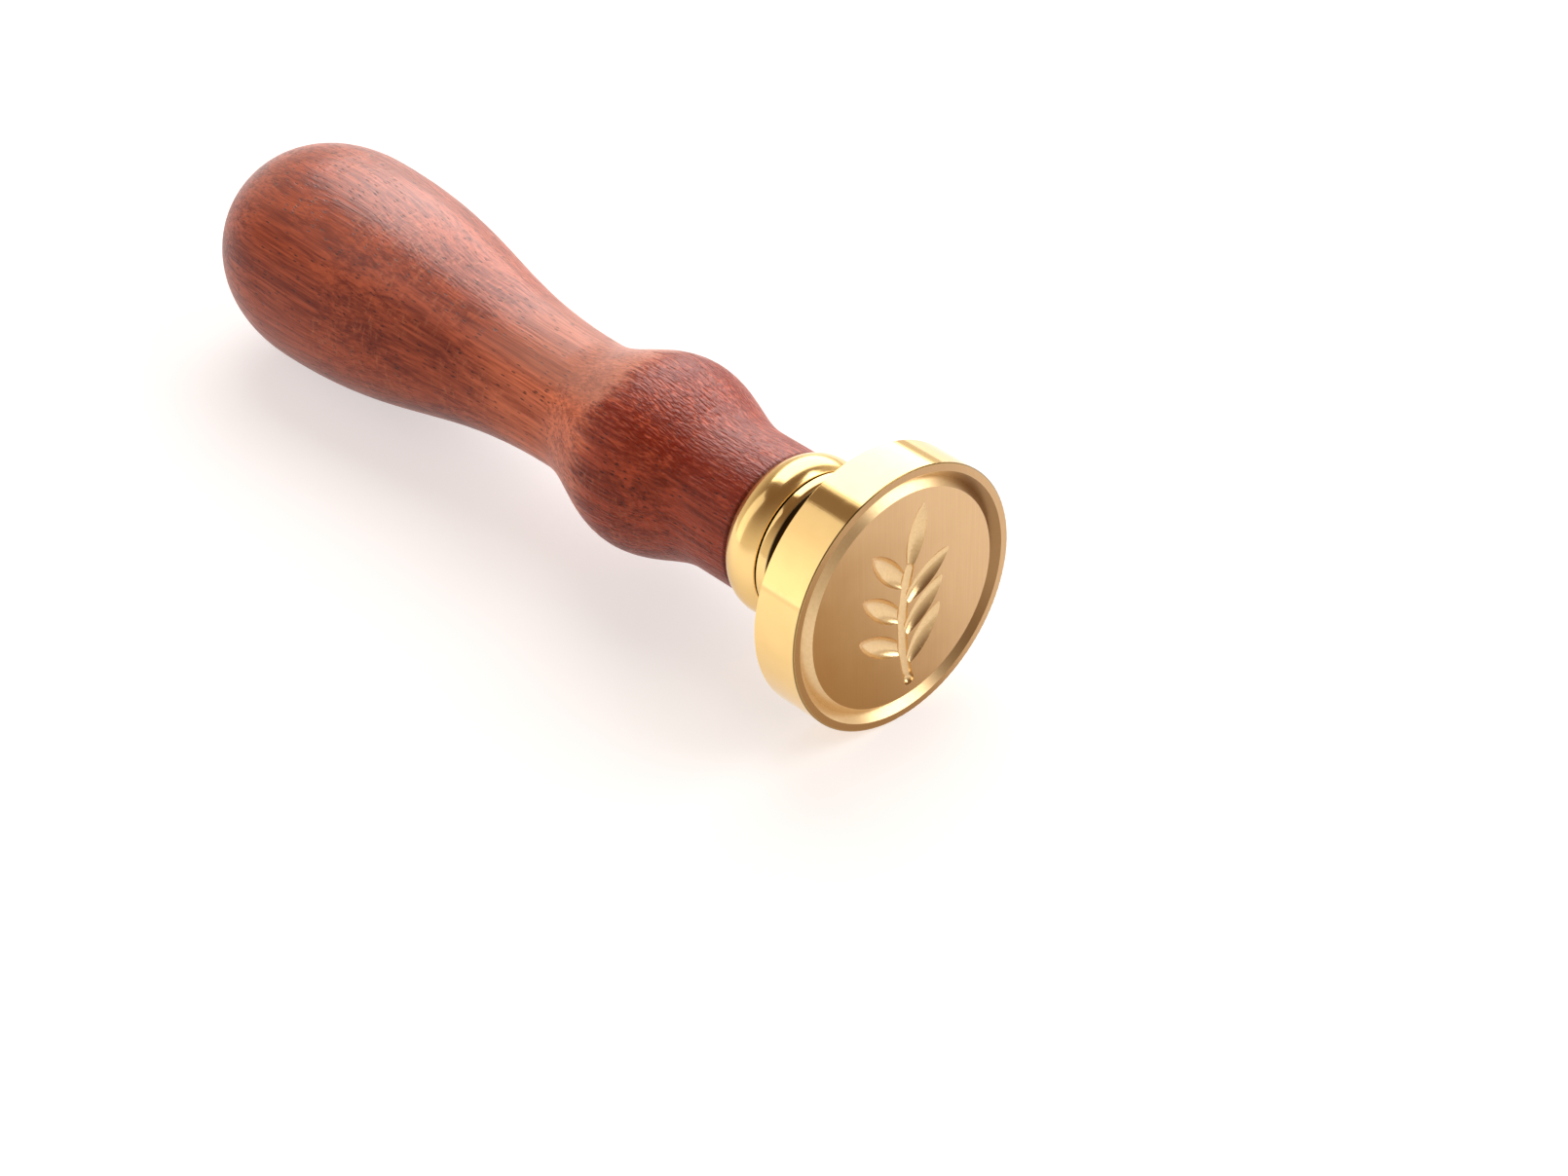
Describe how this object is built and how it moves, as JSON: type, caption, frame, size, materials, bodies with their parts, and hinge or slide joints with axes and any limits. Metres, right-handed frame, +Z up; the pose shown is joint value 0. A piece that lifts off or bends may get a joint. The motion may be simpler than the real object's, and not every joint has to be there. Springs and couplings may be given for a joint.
{
  "type": "wax seal stamp",
  "caption": "Hand stamp for sealing wax: turned wooden handle, brass bead collar and an engraved round brass head that unscrews from a threaded stud.",
  "frame": {"origin": "on the table under the middle of the stamp, which lies on its disc and its handle's bulb", "axes": "+X along the stamp from the handle towards the seal face, +Z up from the table"},
  "size_m": [0.0906, 0.025, 0.0251],
  "materials": {
    "handle_wood": "reddish brown close-grained hardwood, oiled to a soft satin",
    "stud_steel": "bright zinc-plated machine thread",
    "collar_brass": "mirror polished",
    "head_brass": "mirror polished sides, fine matt milled seal face with bright engraved cuts"
  },
  "bodies": {
    "handle": {"handle": "handle_wood", "threaded_stud": "stud_steel"},
    "collar": {"collar": "collar_brass"},
    "head": {"seal_head": "head_brass"}
  },
  "joints": [
    {"name": "collar_slide", "type": "slide", "parent": "handle", "child": "collar", "axis": [0.9997, 0, 0.0224], "range_m": [0, 0.00542]},
    {"name": "head_turn", "type": "hinge", "parent": "collar", "child": "head", "pos_m": [0.03412, 0, 0.01237], "axis": [0.9997, 0, 0.0224], "range_deg": [0, 1951.2]}
  ],
  "couplings": [
    {"joint": "collar_slide", "follows": "head_turn", "m_per_rad": 0.00015915}
  ]
}
